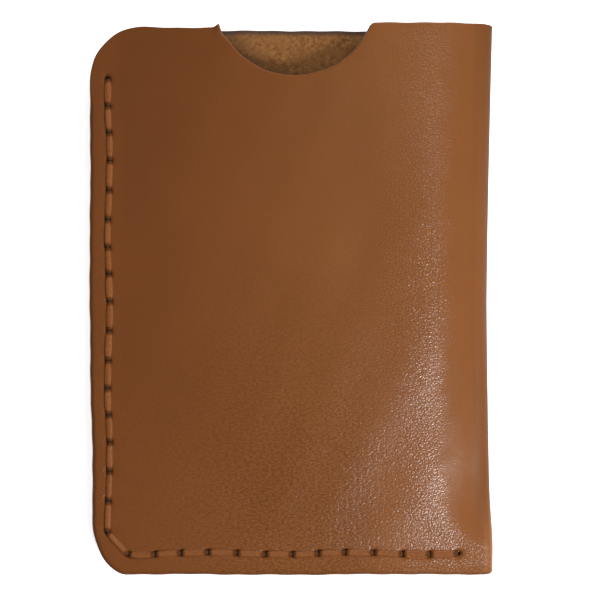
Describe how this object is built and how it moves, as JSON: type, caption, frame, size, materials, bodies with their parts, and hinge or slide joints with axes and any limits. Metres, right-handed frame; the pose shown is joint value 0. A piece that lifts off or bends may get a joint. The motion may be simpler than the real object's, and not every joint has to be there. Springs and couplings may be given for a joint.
{
  "type": "leather card sleeve",
  "caption": "Flat sleeve of folded leather, sewn along one side and the bottom, open at the top with a half-moon thumb notch in the front panel.",
  "frame": {"origin": "centre of the overall box, on the plane that the back panel lies on", "axes": "+Y towards the open mouth, +X towards the folded side, +Z from the back panel to the front panel"},
  "size_m": [0.072, 0.098, 0.008],
  "materials": {
    "leather": "semi-gloss tan cowhide with a fine pebble grain, darker burnished edges and a suede inside",
    "thread": "waxed orange-brown twisted thread"
  },
  "bodies": {
    "root": {"leather_body": "leather", "sewing_thread": "thread"}
  },
  "joints": []
}
